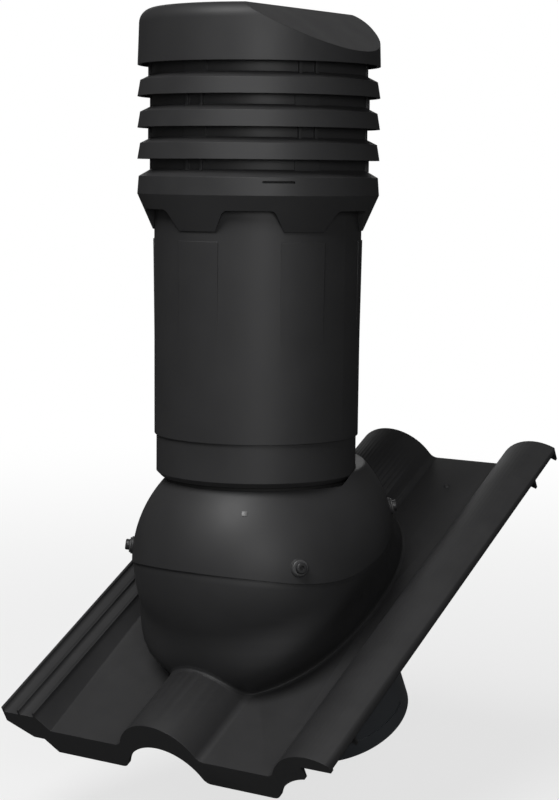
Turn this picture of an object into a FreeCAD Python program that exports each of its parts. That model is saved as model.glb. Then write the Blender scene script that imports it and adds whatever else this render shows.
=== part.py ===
import FreeCAD
import Part
import Sketcher
import math
import os
import types

Vector = FreeCAD.Vector

# Driving sizes, in millimetres and degrees.
# The pipe's upright axis crosses the tile's pan plane at the origin. X runs along the eaves,
# Y up the slope and Z straight up. Heights are above that crossing. Along and across the tile,
# distances are measured in its own tilted plane.
SIZES = {
    # roof tile
    "roof_pitch": 29.0,
    "tile_width": 330.0,
    "tile_length": 420.0,
    "tile_front": 146.0,
    "tile_wall": 4.0,
    "roll_spacing": 150.0,
    "roll_first": -5.0,
    "roll_radius": 41.0,
    "roll_height": 29.0,
    "roll_foot_radius": 8.0,
    "lap_level": 12.4,
    "lap_width": 36.0,
    "lap_slope_width": 11.0,
    "lap_rib_width": 2.4,
    "lap_rib_height": 4.8,
    "apron_depth": 23.5,
    "apron_wall": 4.0,
    "apron_left_depth": 9.3,
    "side_lap": 27.7,
    "side_lip_depth": 7.5,
    "back_rib_depth": 8.0,
    "under_rib_wall": 3.0,
    "under_rib_front": 108.0,
    "under_rib_back": 228.0,
    "nib_width": 26.0,
    "nib_depth": 14.0,
    "nib_wall": 8.0,
    "nib_inset": 12.0,
    "nail_mark_radius": 3.5,
    "nail_mark_height": 1.4,
    "nail_mark_row": 233.0,
    # dome, as sections from below the pan up to the neck
    "dome_wall": 3.0,
    "dome_lap": 1.5,
    "dome_gap": 0.3,
    "dome_lower_wall": 4.0,
    "dome_lip_height": 26.0,
    "dome_base_depth": 8.0,
    "dome_floor_wall": 3.0,
    "foot_centre": 60.0,
    "foot_half_width": 88.5,
    "foot_front": 134.0,
    "foot_rear": 135.0,
    "belly_height": 28.0,
    "belly_centre": 62.0,
    "belly_tilt_loss": 2.0,
    "belly_half_width": 97.0,
    "belly_front": 139.0,
    "belly_rear": 126.0,
    "seam_height": 65.6,
    "seam_above_pan": 46.0,
    "seam_bend": 102.0,
    "waist_height": 95.6,
    "waist_centre": 33.3,
    "waist_tilt": 16.9,
    "waist_half_width": 104.0,
    "waist_half_length": 102.7,
    "shoulder_height": 125.6,
    "shoulder_centre": 9.0,
    "shoulder_tilt": 13.0,
    "shoulder_half_width": 89.5,
    "shoulder_front": 86.0,
    "shoulder_rear": 92.0,
    "neck_height": 146.6,
    "neck_centre": 2.0,
    "neck_tilt": 5.0,
    "neck_radius": 80.0,
    "seat_wall": 3.0,
    "seat_bore": 68.4,
    # pipe and casing
    "joint_height": 177.6,
    "casing_length": 188.8,
    "casing_radius": 86.1,
    "casing_foot_radius": 85.4,
    "casing_wall": 3.0,
    "panel_height": 161.8,
    "panel_length": 88.0,
    "panel_half_angle": 13.0,
    "panel_rise": 0.8,
    "duct_bore": 62.5,
    "duct_wall": 2.0,
    "duct_top": 383.0,
    "fit_gap": 0.3,
    "insulation_radius": 80.4,
    "collar_radius": 83.7,
    "collar_height": 35.6,
    "collar_chamfer": 4.0,
    "collar_neck_height": 24.0,
    "collar_floor": 2.6,
    "gasket_height": 3.0,
    "lug_reach": 3.4,
    "lug_height": 3.0,
    "lug_half_angle": 11.0,
    "closure_height": 12.0,
    # louvre head
    "crown_bottom": 347.4,
    "crown_bottom_radius": 87.3,
    "band_bottom": 376.4,
    "band_height": 14.4,
    "skirt_radius": 100.2,
    "skirt_shrink": 2.2,
    "louvre_pitch": 25.6,
    "louvre_skirt": 13.0,
    "louvre_roof_height": 4.6,
    "louvre_wall": 2.5,
    "neck_outer_radius": 88.7,
    "neck_rise": 31.0,
    "prong_depth": 2.8,
    "prong_width": 2.6,
    "prong_half_angle": 4.5,
    "prong_rise": 38.8,
    "pad_half_angle": 7.0,
    "pad_depth": 1.2,
    "ring_three_bottom": 404.8,
    "arch_top": 364.2,
    "arch_half_foot": 28.6,
    "arch_half_top": 20.6,
    "arch_corner": 5.0,
    "crown_wall": 2.8,
    "cap_height": 45.6,
    "cap_wall": 3.0,
    "cap_edge_radius": 12.0,
    "cap_slope_start": 40.0,
    "cap_slope_angle": 30.9,
    "cap_rib_depth": 16.0,
    "slot_angle": 44.0,
    "slot_half_angle": 7.5,
    "slot_height": 1.6,
    "slot_depth": 1.2,
    # duct connection under the tile
    "swivel_height": 150.4,
    "spigot_wall": 3.0,
    "spigot_reach": 147.0,
    "spigot_top": 16.0,
    "socket_depth": 26.0,
    "socket_wall": 3.0,
    "flange_radius": 72.0,
    "flange_wall": 3.5,
    "spigot_slot_inset": 16.0,
    "spigot_slot_width": 4.0,
    "spigot_slot_depth": 1.2,
    # screws and the level window
    "screw_front_height": 80.7,
    "screw_front_turn": 54.7,
    "screw_rear_height": 111.9,
    "screw_rear_turn": 135.0,
    "screw_head_radius": 4.6,
    "screw_head_height": 3.6,
    "screw_radius": 2.4,
    "screw_length": 15.0,
    "washer_radius": 6.5,
    "washer_wall": 1.4,
    "pad_radius": 7.4,
    "pad_rise": 1.4,
    "boss_radius": 6.0,
    "boss_length": 13.0,
    "window_height": 122.6,
    "window_turn": 28.8,
    "window_radius": 3.0,
    "window_flange": 4.2,
}

doc = FreeCAD.newDocument("roof_vent")
sheet = doc.addObject("Spreadsheet::Sheet", "Sizes")
for row, (name, value) in enumerate(SIZES.items(), start=1):
    sheet.set("A%d" % row, name)
    sheet.set("B%d" % row, str(value))
    sheet.setAlias("B%d" % row, name)
doc.recompute()


class Length:
    # A size worked out from the sheet, kept both as a number and as the sheet's expression
    def __init__(self, number, text):
        self.number = number
        self.text = text

    def __float__(self):
        return self.number

    def __add__(self, other):
        other = length(other)
        return Length(self.number + other.number, "(%s + %s)" % (self.text, other.text))

    def __sub__(self, other):
        other = length(other)
        return Length(self.number - other.number, "(%s - %s)" % (self.text, other.text))

    def __mul__(self, other):
        other = length(other)
        return Length(self.number * other.number, "(%s * %s)" % (self.text, other.text))

    def __truediv__(self, other):
        other = length(other)
        return Length(self.number / other.number, "(%s / %s)" % (self.text, other.text))

    def __neg__(self):
        return Length(-self.number, "(0 - %s)" % self.text)


def length(item):
    if isinstance(item, Length):
        return item
    return Length(float(item), "(%r)" % float(item))


def sine(angle):
    return Length(math.sin(math.radians(float(angle))), "sin(%s * 1 deg)" % angle.text)


def cosine(angle):
    return Length(math.cos(math.radians(float(angle))), "cos(%s * 1 deg)" % angle.text)


size = types.SimpleNamespace(**{
    name: Length(float(sheet.get(name)), "Sizes.%s" % name) for name in SIZES
})
num = types.SimpleNamespace(**{name: float(sheet.get(name)) for name in SIZES})

NODES = []


def origin_plane(body, role):
    return [item for item in body.Origin.OriginFeatures if item.Role == role][0]


def polygon_sketch(body, name, role, points):
    # A closed outline whose corners are tied to the sheet
    sketch = body.newObject("Sketcher::SketchObject", name)
    sketch.AttachmentSupport = [(origin_plane(body, role), "")]
    sketch.MapMode = "FlatFace"
    corners = [Vector(float(x), float(y), 0) for x, y in points]
    count = len(corners)
    for index in range(count):
        sketch.addGeometry(Part.LineSegment(corners[index], corners[(index + 1) % count]), False)
    for index in range(count):
        sketch.addConstraint(Sketcher.Constraint("Coincident", index, 2, (index + 1) % count, 1))
    for index, pair in enumerate(points):
        for kind, value in zip(("DistanceX", "DistanceY"), pair):
            value = length(value)
            number = sketch.addConstraint(Sketcher.Constraint(kind, index, 1, float(value)))
            sketch.setExpression("Constraints[%d]" % number, value.text)
    return sketch


def turned_body(label, points, node=True):
    # A body of revolution about its own upright axis, from corners given as radius and height
    body = doc.addObject("PartDesign::Body", label)
    body.Label = label
    sketch = polygon_sketch(body, label + "_section", "XZ_Plane", points)
    turn = body.newObject("PartDesign::Revolution", label + "_turn")
    turn.Profile = sketch
    turn.ReferenceAxis = (sketch, ["V_Axis"])
    turn.Angle = 360
    body.Tip = turn
    doc.recompute()
    if node:
        NODES.append(body)
    return body


def shape_feature(label, shape, node=False):
    item = doc.addObject("Part::Feature", label)
    item.Label = label
    item.Shape = shape
    if node:
        NODES.append(item)
    return item


def cut(label, base, tool, node=False):
    item = doc.addObject("Part::Cut", label)
    item.Label = label
    item.Base = base
    item.Tool = tool
    doc.recompute()
    if node:
        NODES.append(item)
    return item


def fuse(label, items, node=False):
    item = doc.addObject("Part::MultiFuse", label)
    item.Label = label
    item.Shapes = items
    item.Refine = True
    doc.recompute()
    if node:
        NODES.append(item)
    return item


def turn_copies(shape, count, first=0.0):
    # Copies of a shape spread evenly about the upright axis
    copies = []
    for index in range(count):
        copy = shape.copy()
        copy.rotate(Vector(0, 0, 0), Vector(0, 0, 1), first + index * 360.0 / count)
        copies.append(copy)
    return copies


def sector(inner, outer, bottom, top, half_angle, middle=0.0):
    # A block between two radii and two heights. Angles start at the front and turn towards +X.
    face = Part.Face(Part.Wire(Part.makePolygon([
        Vector(inner, 0, bottom), Vector(outer, 0, bottom), Vector(outer, 0, top),
        Vector(inner, 0, top), Vector(inner, 0, bottom)])))
    block = face.revolve(Vector(0, 0, 0), Vector(0, 0, 1), 2 * half_angle)
    block.rotate(Vector(0, 0, 0), Vector(0, 0, 1), middle - half_angle - 90.0)
    return block


def tube(inner, outer, bottom, top):
    ring = Part.makeCylinder(outer, top - bottom, Vector(0, 0, bottom))
    return ring.cut(Part.makeCylinder(inner, top - bottom, Vector(0, 0, bottom)))


# Louvre rings and the head
# One louvre is a flared skirt, a sloping roof and an upright neck that rises behind the skirt
# of the louvre above, so that air passes and rain does not.
roof_slope = size.louvre_roof_height / (size.skirt_radius - size.skirt_shrink - size.neck_outer_radius)
skirt_top_radius = size.skirt_radius - size.skirt_shrink
neck_inner_radius = size.neck_outer_radius - size.louvre_wall
roof_drop = size.louvre_wall + size.louvre_wall * roof_slope / 4


def louvre_corners(bottom):
    roof_top = bottom + size.louvre_skirt + size.louvre_roof_height
    skirt_inside = skirt_top_radius - size.louvre_wall
    return [
        (size.skirt_radius, bottom),
        (skirt_top_radius, bottom + size.louvre_skirt),
        (size.neck_outer_radius, roof_top),
        (size.neck_outer_radius, bottom + size.neck_rise),
        (neck_inner_radius, bottom + size.neck_rise),
        (neck_inner_radius, roof_top + size.louvre_wall * roof_slope - roof_drop),
        (skirt_inside, bottom + size.louvre_skirt + size.louvre_wall * roof_slope - roof_drop),
        (size.skirt_radius - size.louvre_wall, bottom),
    ]


def prongs(bottom, first):
    # Three pairs of snap prongs that hold the louvre above, with a flat pad between the pairs
    inner = num.neck_outer_radius - num.louvre_wall / 2
    outer = num.neck_outer_radius + num.prong_depth
    root = bottom + num.louvre_skirt + num.louvre_roof_height - num.louvre_wall / 2
    bar = Part.makeBox(outer - inner, num.prong_width, bottom + num.prong_rise - root,
                       Vector(inner, -num.prong_width / 2, root))
    pieces = []
    for side in (-1, 1):
        one = bar.copy()
        one.rotate(Vector(0, 0, 0), Vector(0, 0, 1), first - 90.0 + side * num.prong_half_angle)
        pieces += turn_copies(one, 3)
    pad = sector(inner, num.neck_outer_radius + num.pad_depth, root, bottom + num.neck_rise,
                 num.pad_half_angle, first + 60.0)
    return pieces + turn_copies(pad, 3)


def louvre(label, bottom, first):
    ring = turned_body(label + "_ring", louvre_corners(bottom), node=False)
    held = shape_feature(label + "_prongs", Part.makeCompound(prongs(float(bottom), first)))
    return fuse(label, [ring, held], node=True)


ring_three = size.ring_three_bottom
ring_two = ring_three + size.louvre_pitch
ring_one = ring_two + size.louvre_pitch
cap_bottom = ring_one + size.louvre_pitch
louvre("louvre_ring_1", ring_one, 60.0)
louvre("louvre_ring_2", ring_two, 0.0)
louvre("louvre_ring_3", ring_three, 60.0)

# Head base: a band with the lowest louvre on top and a crown of six lobes below
base_louvre = ring_three - size.louvre_pitch
band_top = size.band_bottom + size.band_height
lap_radius = size.casing_radius + size.fit_gap / 2
casing_top = size.joint_height + size.casing_length
roof_top = base_louvre + size.louvre_skirt + size.louvre_roof_height
neck_bore = neck_inner_radius - size.crown_wall / 2
crown_outline = turned_body("crown_outline", [
    (size.crown_bottom_radius, size.crown_bottom),
    (size.skirt_radius, size.band_bottom),
    (skirt_top_radius + size.skirt_shrink / 2, band_top),
    (size.neck_outer_radius, roof_top),
    (size.neck_outer_radius, base_louvre + size.neck_rise),
    (neck_bore, base_louvre + size.neck_rise),
    (neck_bore, casing_top),
    (lap_radius, casing_top),
    (lap_radius, size.crown_bottom),
], node=False)
hollow = turned_body("crown_hollow_ring", [
    (lap_radius - size.fit_gap, size.crown_bottom + size.crown_wall * 2),
    (size.skirt_radius - size.crown_wall, size.band_bottom + size.crown_wall / 2),
    (skirt_top_radius - size.crown_wall / 2, band_top - size.crown_wall),
    (size.neck_outer_radius + size.fit_gap, roof_top - size.crown_wall * 1.4),
    (size.neck_outer_radius + size.fit_gap, casing_top + size.fit_gap),
    (lap_radius - size.fit_gap, casing_top + size.fit_gap),
], node=False)


def arch_prism(wall):
    # The upright opening between two lobes, wider at its foot, grown by a wall all round
    foot = float(size.crown_bottom) - num.crown_wall - wall
    reach = 2 * num.skirt_radius
    top = num.arch_top + wall
    face = Part.Face(Part.Wire(Part.makePolygon([
        Vector(-num.arch_half_foot - wall, 0, foot), Vector(num.arch_half_foot + wall, 0, foot),
        Vector(num.arch_half_top + wall, 0, top), Vector(-num.arch_half_top - wall, 0, top),
        Vector(-num.arch_half_foot - wall, 0, foot)])))
    prism = face.extrude(Vector(0, -reach, 0))
    edges = [edge for edge in prism.Edges
             if edge.BoundBox.ZMin > top - 0.1 and edge.BoundBox.YLength > reach - 1]
    return prism.makeFillet(num.arch_corner + wall, edges)


webs = shape_feature("crown_webs", Part.makeCompound(turn_copies(arch_prism(num.crown_wall), 6, 30.0)))
arches = shape_feature("crown_arches", Part.makeCompound(turn_copies(arch_prism(0.0), 6, 30.0)))
lobes_hollow = cut("crown_hollow", hollow, webs)
crown_shell = cut("crown_shell", crown_outline, lobes_hollow)
crown_lobes = cut("crown_lobes", crown_shell, arches)
slot = shape_feature("band_slot", sector(
    num.skirt_radius - num.skirt_shrink - num.slot_depth, num.skirt_radius + 1,
    num.band_bottom + num.band_height * 0.68, num.band_bottom + num.band_height * 0.68 + num.slot_height,
    num.slot_half_angle, num.slot_angle))
crown_slotted = cut("crown_slotted", crown_lobes, slot)
crown_prongs = shape_feature("crown_prongs", Part.makeCompound(prongs(float(base_louvre), 0.0)))
fuse("head_base", [crown_slotted, crown_prongs], node=True)

# Cap: a hood cut off by one slanted facet, with ribs inside that rest on the first louvre


def cap_solid(radius, shrink, bottom, drop, edge_radius):
    # The hood's outside or inside: a slightly flared wall with a round rim and the slanted facet
    height = float(cap_bottom) + num.cap_height - drop
    top_radius = radius - shrink
    hood = Part.makeCone(radius, top_radius, height - bottom, Vector(0, 0, bottom))
    angle = math.radians(num.cap_slope_angle)
    crest = float(cap_bottom) + num.cap_height - drop / math.cos(angle)
    reach = 3 * radius
    start = Vector(num.cap_slope_start, -reach, crest)
    fall = Vector(reach, 0, -reach * math.tan(angle))
    back = Vector(-reach, 0, reach * math.tan(angle))
    face = Part.Face(Part.Wire(Part.makePolygon([
        start + back, start + fall, start + fall + Vector(0, 0, 3 * reach),
        start + back + Vector(0, 0, 3 * reach), start + back])))
    hood = hood.cut(face.extrude(Vector(0, 2 * reach, 0)))
    rim = [edge for edge in hood.Edges if edge.BoundBox.ZMin > height - 0.01
           and edge.BoundBox.YLength > radius and edge.BoundBox.XLength > 1]
    hood = hood.makeFillet(edge_radius, rim)
    ridge = [edge for edge in hood.Edges if edge.BoundBox.XMax > radius - 6
             and edge.BoundBox.ZMin > bottom + 1 and edge.BoundBox.ZMax < height - 0.5
             and edge.BoundBox.YLength > radius]
    return hood, ridge


cap_outside, cap_ridge = cap_solid(num.skirt_radius, num.skirt_shrink * 0.7, float(cap_bottom), 0.0,
                                   num.cap_edge_radius)
cap_inside, unused = cap_solid(num.skirt_radius - num.louvre_wall, num.skirt_shrink * 0.7, float(cap_bottom),
                               num.cap_wall, num.cap_edge_radius - num.cap_wall)
cap_hood = shape_feature("cap_hood", cap_outside)
cap_void = shape_feature("cap_void", cap_inside)
cap_shell = cut("cap_shell", cap_hood, cap_void)
rib_bottom = float(ring_one) + num.prong_rise + num.fit_gap / 2
rib_block = Part.makeBox(num.cap_rib_depth, num.prong_width, num.cap_height,
                         Vector(num.skirt_radius - num.cap_rib_depth, -num.prong_width / 2, rib_bottom))
cap_rib_shapes = []
for side in (-1, 1):
    rib = rib_block.copy()
    rib.rotate(Vector(0, 0, 0), Vector(0, 0, 1), 60.0 - 90.0 + side * num.prong_half_angle)
    cap_rib_shapes += turn_copies(rib, 3)
cap_ribs = shape_feature("cap_ribs", Part.makeCompound(cap_rib_shapes).common(cap_outside))
fuse("cap", [cap_shell, cap_ribs], node=True)

# Casing pipe with six raised panels, one under each lobe
casing_inner = size.casing_radius - size.casing_wall
casing_tube = turned_body("casing_tube", [
    (size.casing_foot_radius - size.casing_wall, size.joint_height),
    (size.casing_foot_radius, size.joint_height),
    (size.casing_radius, casing_top),
    (casing_inner, casing_top),
], node=False)
panel_top = num.joint_height + num.panel_height
panel_face = Part.Face(Part.Wire(Part.makePolygon([
    Vector(float(casing_inner) + 1, 0, panel_top),
    Vector(num.casing_radius + num.panel_rise, 0, panel_top),
    Vector(num.casing_radius - 0.5, 0, panel_top - num.panel_length),
    Vector(float(casing_inner) + 1, 0, panel_top - num.panel_length),
    Vector(float(casing_inner) + 1, 0, panel_top)])))
panel = panel_face.revolve(Vector(0, 0, 0), Vector(0, 0, 1), 2 * num.panel_half_angle)
panel.rotate(Vector(0, 0, 0), Vector(0, 0, 1), -90.0 - num.panel_half_angle)
panels = shape_feature("casing_panels", Part.makeCompound(turn_copies(panel, 6)))
fuse("casing_pipe", [casing_tube, panels], node=True)

# Inner duct, its insulation and the closing ring between duct and casing
duct_outer = size.duct_bore + size.duct_wall
collar_bottom = size.joint_height - size.collar_height
seat_top = collar_bottom - size.gasket_height
turned_body("inner_duct", [
    (size.duct_bore, seat_top - size.seat_wall),
    (duct_outer, seat_top - size.seat_wall),
    (duct_outer, size.duct_top),
    (size.duct_bore, size.duct_top),
])
closure_bottom = casing_top - size.closure_height - size.closure_height / 2
turned_body("insulation_sleeve", [
    (duct_outer + size.fit_gap, collar_bottom + size.collar_floor),
    (size.insulation_radius, collar_bottom + size.collar_floor),
    (size.insulation_radius, closure_bottom),
    (duct_outer + size.fit_gap, closure_bottom),
])
turned_body("closure_ring", [
    (duct_outer + size.fit_gap, closure_bottom),
    (casing_inner - size.fit_gap * 2, closure_bottom),
    (casing_inner - size.fit_gap * 2, closure_bottom + size.duct_wall),
    (duct_outer + size.fit_gap + size.duct_wall, closure_bottom + size.duct_wall),
    (duct_outer + size.fit_gap + size.duct_wall, closure_bottom + size.closure_height),
    (duct_outer + size.fit_gap, closure_bottom + size.closure_height),
])

# Lock collar: its neck stands in the casing and its lugs turn under the dome's seat
neck_outside = size.casing_foot_radius - size.casing_wall - size.fit_gap
sleeve_inner = duct_outer + size.fit_gap
sleeve_outer = size.seat_bore - size.fit_gap
lug_top = seat_top - size.seat_wall - size.fit_gap
collar_turned = turned_body("collar_ring", [
    (sleeve_inner, lug_top - size.lug_height),
    (sleeve_outer, lug_top - size.lug_height),
    (sleeve_outer, collar_bottom),
    (size.collar_radius - size.collar_chamfer, collar_bottom),
    (size.collar_radius, collar_bottom + size.collar_chamfer),
    (size.collar_radius, size.joint_height),
    (neck_outside, size.joint_height),
    (neck_outside, size.joint_height + size.collar_neck_height),
    (size.insulation_radius + size.fit_gap, size.joint_height + size.collar_neck_height),
    (size.insulation_radius + size.fit_gap, collar_bottom + size.collar_floor),
    (sleeve_inner, collar_bottom + size.collar_floor),
], node=False)
lug_bottom = float(lug_top) - num.lug_height
lug = sector(float(sleeve_outer) - 1, float(sleeve_outer) + num.lug_reach, lug_bottom, float(lug_top),
             num.lug_half_angle)
lugs = shape_feature("collar_lugs", Part.makeCompound(turn_copies(lug, 3)))
fuse("lock_collar", [collar_turned, lugs], node=True)
turned_body("collar_gasket", [
    (sleeve_outer + size.fit_gap, seat_top),
    (size.collar_radius - size.collar_chamfer - size.gasket_height, seat_top),
    (size.collar_radius - size.collar_chamfer - size.gasket_height, collar_bottom),
    (sleeve_outer + size.fit_gap, collar_bottom),
])

# Dome: a loft through six tilted sections, each an oval with its own squareness
POINTS_ROUND = 28


def oval_wire(tilt, centre, height, half_width, front, rear, square_front, square_rear):
    # A closed curve round a super-ellipse whose front half and rear half differ
    points = []
    for index in range(POINTS_ROUND):
        turn = 2 * math.pi * index / POINTS_ROUND
        across = math.sin(turn)
        ahead = math.cos(turn)
        blend = 0.5 - 0.5 * max(-1.0, min(1.0, ahead / 0.35))
        power = 2.0 / (square_front + (square_rear - square_front) * blend)
        x = half_width * math.copysign(abs(across) ** power, across)
        reach = front if ahead > 0 else rear
        y = -reach * math.copysign(abs(ahead) ** power, ahead)
        points.append(Vector(x, y * math.cos(tilt), y * math.sin(tilt)) + Vector(0, centre, height))
    curve = Part.BSplineCurve()
    curve.interpolate(Points=points, PeriodicFlag=True)
    return Part.Wire(curve.toShape())


pitch = math.radians(num.roof_pitch)


def over_tile(along, above):
    # A point over the middle of the tile, as its place up the slope and its height
    return (along * math.cos(pitch) - above * math.sin(pitch),
            along * math.sin(pitch) + above * math.cos(pitch))


def dome_solid(inset):
    # The dome's form drawn in by a wall, from under the pans up to the neck
    low = over_tile(num.foot_centre, -num.dome_base_depth)
    foot = over_tile(num.foot_centre, 0.0)
    belly = over_tile(num.belly_centre, num.belly_height)
    rim = num.neck_radius - inset
    wires = [
        oval_wire(pitch, *low, num.foot_half_width - 4.0 - inset, num.foot_front - 2.0 - inset,
                  num.foot_rear - 2.0 - inset, 2.2, 2.1),
        oval_wire(pitch, *foot, num.foot_half_width - inset, num.foot_front - inset,
                  num.foot_rear - inset, 2.2, 2.1),
        oval_wire(pitch - math.radians(num.belly_tilt_loss), *belly, num.belly_half_width - inset,
                  num.belly_front - inset, num.belly_rear - inset, 2.6, 2.1),
        oval_wire(math.radians(num.waist_tilt), num.waist_centre, num.waist_height,
                  num.waist_half_width - inset, num.waist_half_length - inset,
                  num.waist_half_length - inset, 5.0, 2.1),
        oval_wire(math.radians(num.shoulder_tilt), num.shoulder_centre, num.shoulder_height,
                  num.shoulder_half_width - inset, num.shoulder_front - inset,
                  num.shoulder_rear - inset, 2.7, 2.3),
        oval_wire(math.radians(num.neck_tilt), num.neck_centre, num.neck_height, rim, rim, rim, 2.1, 2.1),
    ]
    return Part.makeLoft(wires, True, False)


def above_seam(lift):
    # Everything above the seam: level in front, then parallel to the tile behind a soft bend
    level = num.seam_height + lift
    slope = math.tan(pitch)
    corner = (num.seam_height - num.seam_above_pan / math.cos(pitch)) / slope
    run = num.seam_bend * math.tan(pitch / 2)
    reach = 3 * num.tile_width
    start = Vector(-reach, corner - run, level)
    knee = Vector(-reach, corner, level)
    finish = knee + Vector(0, run * math.cos(pitch), run * math.sin(pitch))
    centre = start + Vector(0, 0, num.seam_bend)
    towards = knee - centre
    middle = centre + towards.normalize() * num.seam_bend
    far = finish + Vector(0, reach * math.cos(pitch), reach * math.sin(pitch))
    near = Vector(-reach, -reach, level)
    lid = 4 * reach
    edges = [
        Part.LineSegment(near, start).toShape(),
        Part.Arc(start, middle, finish).toShape(),
        Part.LineSegment(finish, far).toShape(),
        Part.LineSegment(far, Vector(-reach, far.y, lid)).toShape(),
        Part.LineSegment(Vector(-reach, far.y, lid), Vector(-reach, -reach, lid)).toShape(),
        Part.LineSegment(Vector(-reach, -reach, lid), near).toShape(),
    ]
    return Part.Face(Part.Wire(edges)).extrude(Vector(2 * reach, 0, 0))


dome_outside = dome_solid(0.0)
dome_inside = dome_solid(num.dome_wall)
lower_outside = dome_solid(num.dome_lap)
lip_outside = dome_solid(num.dome_wall + num.dome_gap)
lower_inside = dome_solid(num.dome_lap + num.dome_lower_wall)
upper_region = above_seam(0.0)
lip_region = above_seam(num.dome_lip_height)


def dome_place(turn, height):
    # Where a level line from the pipe's axis leaves the dome, and the outward direction there
    lean = math.radians(turn)
    start = Vector(0, 0, height)
    ray = Part.makeLine(start, start + Vector(math.sin(lean), -math.cos(lean), 0) * num.tile_width)
    crossings = dome_outside.common(ray).Vertexes
    point = max(crossings, key=lambda vertex: vertex.Point.distanceToPoint(start)).Point
    face = min(dome_outside.Faces, key=lambda item: item.distToShape(Part.Vertex(point))[0])
    normal = face.normalAt(*face.Surface.parameter(point))
    if normal.dot(point - start) < 0:
        normal = -normal
    return point, normal


screw_places = []
for turn, height in ((num.screw_front_turn, num.screw_front_height),
                     (num.screw_rear_turn, num.screw_rear_height)):
    for side in (-1, 1):
        screw_places.append(dome_place(side * turn, height))
window_point, window_normal = dome_place(num.window_turn, num.window_height)


def screw_rods(radius, outward, inward):
    # One round bar at each screw, from a length outside the dome's skin to a length inside it
    return [Part.makeCylinder(radius, outward + inward, point - normal * inward, normal)
            for point, normal in screw_places]


# Upper dome shell, with the seat for the collar and three notches for its lugs
seat_floor = float(seat_top) - num.seat_wall
pipe_room = Part.makeCylinder(num.collar_radius + num.fit_gap, num.joint_height, Vector(0, 0, float(seat_top)))
seat_ring = tube(num.seat_bore, 2 * num.collar_radius, seat_floor, float(seat_top))
notch = sector(num.seat_bore - 2, num.seat_bore + num.lug_reach + num.fit_gap,
               float(seat_top) - 2 * num.seat_wall, float(seat_top) + 1, num.lug_half_angle + 2)
window_hole = Part.makeCylinder(num.window_radius + num.fit_gap / 2, 16.0,
                                window_point - window_normal * 8.0, window_normal)
upper = dome_outside.common(upper_region).fuse(screw_rods(num.pad_radius, num.pad_rise, num.dome_wall + 1))
upper = upper.cut([dome_inside.cut(seat_ring)])
upper = upper.cut([pipe_room, window_hole] + screw_rods(num.screw_radius + num.fit_gap, 12.0, 12.0))
upper = upper.cut(turn_copies(notch, 3, 60.0))
shape_feature("dome_upper", upper.removeSplitter(), node=True)

# Screws, washers and the level window
for index, (point, normal) in enumerate(screw_places, start=1):
    seat_point = point + normal * num.pad_rise
    washer = Part.makeCylinder(num.washer_radius, num.washer_wall, seat_point, normal)
    washer = washer.cut(Part.makeCylinder(num.screw_radius + 0.1, 3 * num.washer_wall,
                                          seat_point - normal * num.washer_wall, normal))
    shape_feature("screw_washer_%d" % index, washer, node=True)
    head_point = seat_point + normal * num.washer_wall
    head = Part.makeCylinder(num.screw_head_radius, num.screw_head_height, head_point, normal)
    top_edge = [edge for edge in head.Edges
                if (edge.CenterOfMass - head_point).dot(normal) > num.screw_head_height - 0.1]
    head = head.makeFillet(1.2, top_edge)
    recess = Part.makeCylinder(1.6, 2.0, head_point + normal * (num.screw_head_height - 1.8), normal)
    shank = Part.makeCylinder(num.screw_radius, num.screw_length, head_point, -normal)
    shape_feature("dome_screw_%d" % index, head.cut(recess).fuse(shank), node=True)
window = Part.makeCylinder(num.window_radius, 5.0, window_point - window_normal * 4.0, window_normal)
bead = Part.makeCylinder(num.window_flange, 1.0, window_point + window_normal * 0.35, window_normal)
shape_feature("level_window", window.fuse(bead), node=True)


# Tile skin: pans and rolls of one wall, drawn as an outline across the slope
def tile_outline(depth, drop):
    # The tile's top line set in by a depth and lowered by a drop, from the left edge to the right
    left = -num.tile_width / 2
    right = num.tile_width / 2
    centre_z = num.roll_height - num.roll_radius
    radius = num.roll_radius - depth
    foot_radius = num.roll_foot_radius + depth
    both = num.roll_radius + num.roll_foot_radius
    rise = num.roll_foot_radius - centre_z
    spread = math.sqrt(both * both - rise * rise)
    pan = -depth

    def at(x, z):
        return Vector(x, 0, z - drop)

    def roll_edges(middle, last):
        # One roll: foot arc, crest arc and foot arc, or cut off at the tile's right edge
        lean = math.atan2(spread, rise)
        touch_x = radius * math.sin(lean)
        touch_z = centre_z + radius * math.cos(lean)
        half_x = foot_radius * math.sin(lean / 2)
        half_z = num.roll_foot_radius - foot_radius * math.cos(lean / 2)
        edges = [Part.Arc(at(middle - spread, pan), at(middle - spread + half_x, half_z),
                          at(middle - touch_x, touch_z)).toShape()]
        if not last:
            edges.append(Part.Arc(at(middle - touch_x, touch_z), at(middle, centre_z + radius),
                                  at(middle + touch_x, touch_z)).toShape())
            edges.append(Part.Arc(at(middle + touch_x, touch_z), at(middle + spread - half_x, half_z),
                                  at(middle + spread, pan)).toShape())
            return edges, at(middle + spread, pan)
        over = right - middle
        end = at(right, centre_z + math.sqrt(radius * radius - over * over))
        edges.append(Part.Arc(at(middle - touch_x, touch_z), at(middle, centre_z + radius), end).toShape())
        return edges, end

    shelf = num.lap_level - depth
    first = num.roll_first
    second = first + num.roll_spacing
    corner = at(left + num.lap_width, shelf)
    toe = at(left + num.lap_width + num.lap_slope_width, pan)
    edges = [Part.LineSegment(at(left, shelf), corner).toShape(), Part.LineSegment(corner, toe).toShape(),
             Part.LineSegment(toe, at(first - spread, pan)).toShape()]
    roll, end = roll_edges(first, False)
    edges += roll
    edges.append(Part.LineSegment(end, at(second - spread, pan)).toShape())
    roll, end = roll_edges(second, True)
    edges += roll
    return edges, at(left, shelf), end


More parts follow.
